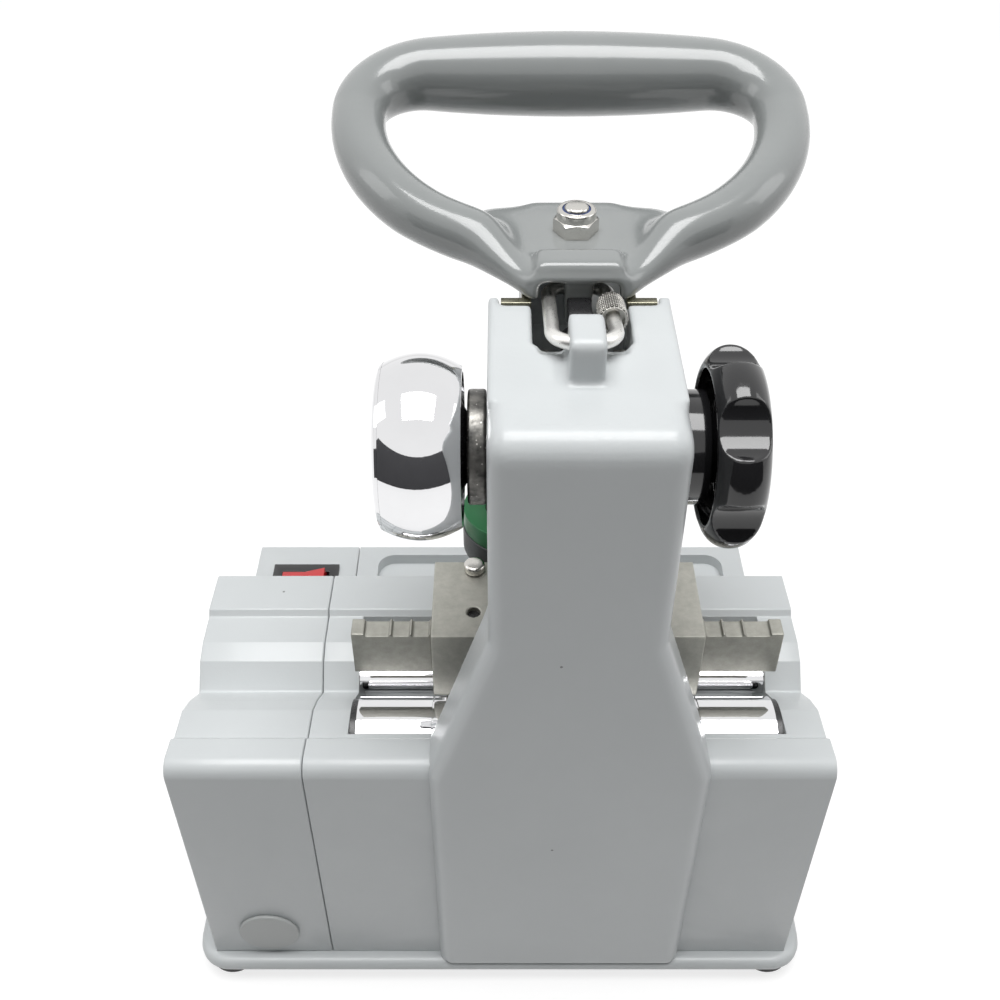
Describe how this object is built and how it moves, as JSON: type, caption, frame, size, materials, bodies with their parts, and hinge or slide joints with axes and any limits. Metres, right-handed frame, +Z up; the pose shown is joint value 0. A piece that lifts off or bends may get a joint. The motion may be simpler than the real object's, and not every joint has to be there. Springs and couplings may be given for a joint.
{
  "type": "key duplicating machine",
  "caption": "Bench-top key duplicating machine: column with a lever-fed sliding cutter and tracer head over a sliding key carriage on a stepped base.",
  "frame": {"origin": "middle of the bounding box at the table, under the feet", "axes": "+X to the machine's right seen from behind, +Y from the column towards the operator, +Z up"},
  "size_m": [0.256, 0.2012, 0.3335],
  "materials": {
    "body_paint": "satin powder coat",
    "handle_enamel": "gloss enamel",
    "nickel": "speckled nickel plate",
    "chrome": "mirror",
    "bright_steel": "bright",
    "plate_steel": "dull passivated",
    "worn_steel": "worn",
    "black_plastic": "gloss",
    "black_metal": "satin",
    "rubber": "matte",
    "red_plastic": "gloss",
    "green_plastic": "satin",
    "dial_grey": "satin",
    "blue_nylon": "matte"
  },
  "bodies": {
    "base": {"base_plate": "body_paint", "rubber_feet": "rubber", "base_housing": "body_paint", "side_cover": "body_paint", "hole_plug": "body_paint", "switch_body": "black_plastic", "power_inlet": "black_plastic", "power_supply": "black_metal", "rear_shaft": "chrome", "shaft_bushes": "black_metal", "guide_rod": "chrome", "column": "body_paint", "column_bolts": "bright_steel", "spring_pin": "bright_steel", "return_spring": "black_metal"},
    "head": {"slide_ram": "bright_steel", "rack": "bright_steel", "spring_seat": "black_metal", "head_body": "body_paint", "top_plate": "plate_steel", "handle": "handle_enamel", "handle_stud": "bright_steel", "lock_nut": "bright_steel", "nut_insert": "blue_nylon", "spindle_motor": "bright_steel", "spindle_bearings": "bright_steel"},
    "feed": {"pinion_shaft": "bright_steel", "pinion": "bright_steel", "feed_knob": "chrome", "knob_hub": "black_plastic", "knob_collar": "worn_steel"},
    "lock": {"lock_knob": "black_plastic", "lock_collar": "black_metal"},
    "spindle": {"cutter_spindle": "bright_steel", "collet_nut": "bright_steel", "cutter_bit": "bright_steel"},
    "dial": {"tracer_dial": "dial_grey", "tracer_ring": "green_plastic"},
    "tracer": {"tracer_stem": "bright_steel", "tracer_pin": "bright_steel"},
    "carriage": {"carriage_block": "nickel", "side_arms": "nickel", "carriage_screws": "bright_steel", "set_screws": "black_metal", "cross_rods": "chrome"},
    "table": {"vise_table": "nickel", "table_lever": "bright_steel", "lever_ball": "black_plastic"},
    "left_vise": {"left_jaw": "nickel"},
    "right_vise": {"right_jaw": "nickel"},
    "left_screw": {"left_clamp": "bright_steel"},
    "right_screw": {"right_clamp": "bright_steel"},
    "link": {"quick_link": "bright_steel"},
    "sleeve": {"link_sleeve": "bright_steel"},
    "rocker": {"switch_rocker": "red_plastic"}
  },
  "joints": [
    {"name": "head_slide", "type": "slide", "parent": "base", "child": "head", "axis": [0, 0, -1], "range_m": [0, 0.012], "stiffness_N_per_m": 2500, "springref_m": -0.02, "deforming": ["return_spring"]},
    {"name": "feed_turn", "type": "hinge", "parent": "base", "child": "feed", "pos_m": [0.02475, -0.06077, 0.2593], "axis": [1, 0, 0], "range_deg": [-77, 0]},
    {"name": "lock_turn", "type": "hinge", "parent": "feed", "child": "lock", "pos_m": [0.02475, -0.06077, 0.2593], "axis": [1, 0, 0], "range_deg": [0, 180]},
    {"name": "spindle_turn", "type": "hinge", "parent": "head", "child": "spindle", "pos_m": [0.04475, 0.00343, 0.1843], "axis": [0, 0, 1], "continuous": true},
    {"name": "dial_turn", "type": "hinge", "parent": "head", "child": "dial", "pos_m": [0.00475, 0.00343, 0.1589], "axis": [0, 0, 1], "range_deg": [-181, 181]},
    {"name": "tracer_lift", "type": "slide", "parent": "head", "child": "tracer", "axis": [0, 0, 1], "range_m": [-0.00025, 0.00025]},
    {"name": "carriage_slide", "type": "slide", "parent": "base", "child": "carriage", "axis": [1, 0, 0], "range_m": [-0.02, 0.02]},
    {"name": "table_slide", "type": "slide", "parent": "carriage", "child": "table", "axis": [0, 1, 0], "range_m": [-0.006, 0.006]},
    {"name": "rocker_tip", "type": "hinge", "parent": "base", "child": "rocker", "pos_m": [-0.09525, 0.06143, 0.0733], "axis": [0, 1, 0], "range_deg": [0, 16]},
    {"name": "link_swing", "type": "hinge", "parent": "base", "child": "link", "pos_m": [0.02475, -0.06257, 0.2983], "axis": [1, 0, 0], "range_deg": [-15, 0]},
    {"name": "sleeve_turn", "type": "hinge", "parent": "link", "child": "sleeve", "pos_m": [0.03425, -0.03668, 0.29265], "axis": [0, 0.977, -0.213], "range_deg": [0, 720]},
    {"name": "left_clamp_turn", "type": "hinge", "parent": "table", "child": "left_screw", "pos_m": [0.00475, 0.02043, 0.1304], "axis": [0, 1, 0], "range_deg": [0, 1440]},
    {"name": "left_jaw_slide", "type": "slide", "parent": "table", "child": "left_vise", "axis": [0, -1, 0], "range_m": [0, 0.0071]},
    {"name": "right_clamp_turn", "type": "hinge", "parent": "table", "child": "right_screw", "pos_m": [0.04475, 0.02043, 0.1304], "axis": [0, 1, 0], "range_deg": [0, 1440]},
    {"name": "right_jaw_slide", "type": "slide", "parent": "table", "child": "right_vise", "axis": [0, -1, 0], "range_m": [0, 0.0071]}
  ],
  "couplings": [
    {"joint": "feed_turn", "follows": "head_slide", "rad_per_m": -111.11},
    {"joint": "link_swing", "follows": "head_slide", "rad_per_m": -20.43},
    {"joint": "dial_turn", "follows": "tracer_lift", "rad_per_m": 12566},
    {"joint": "left_jaw_slide", "follows": "left_clamp_turn", "m_per_rad": 0.00027852},
    {"joint": "right_jaw_slide", "follows": "right_clamp_turn", "m_per_rad": 0.00027852}
  ]
}
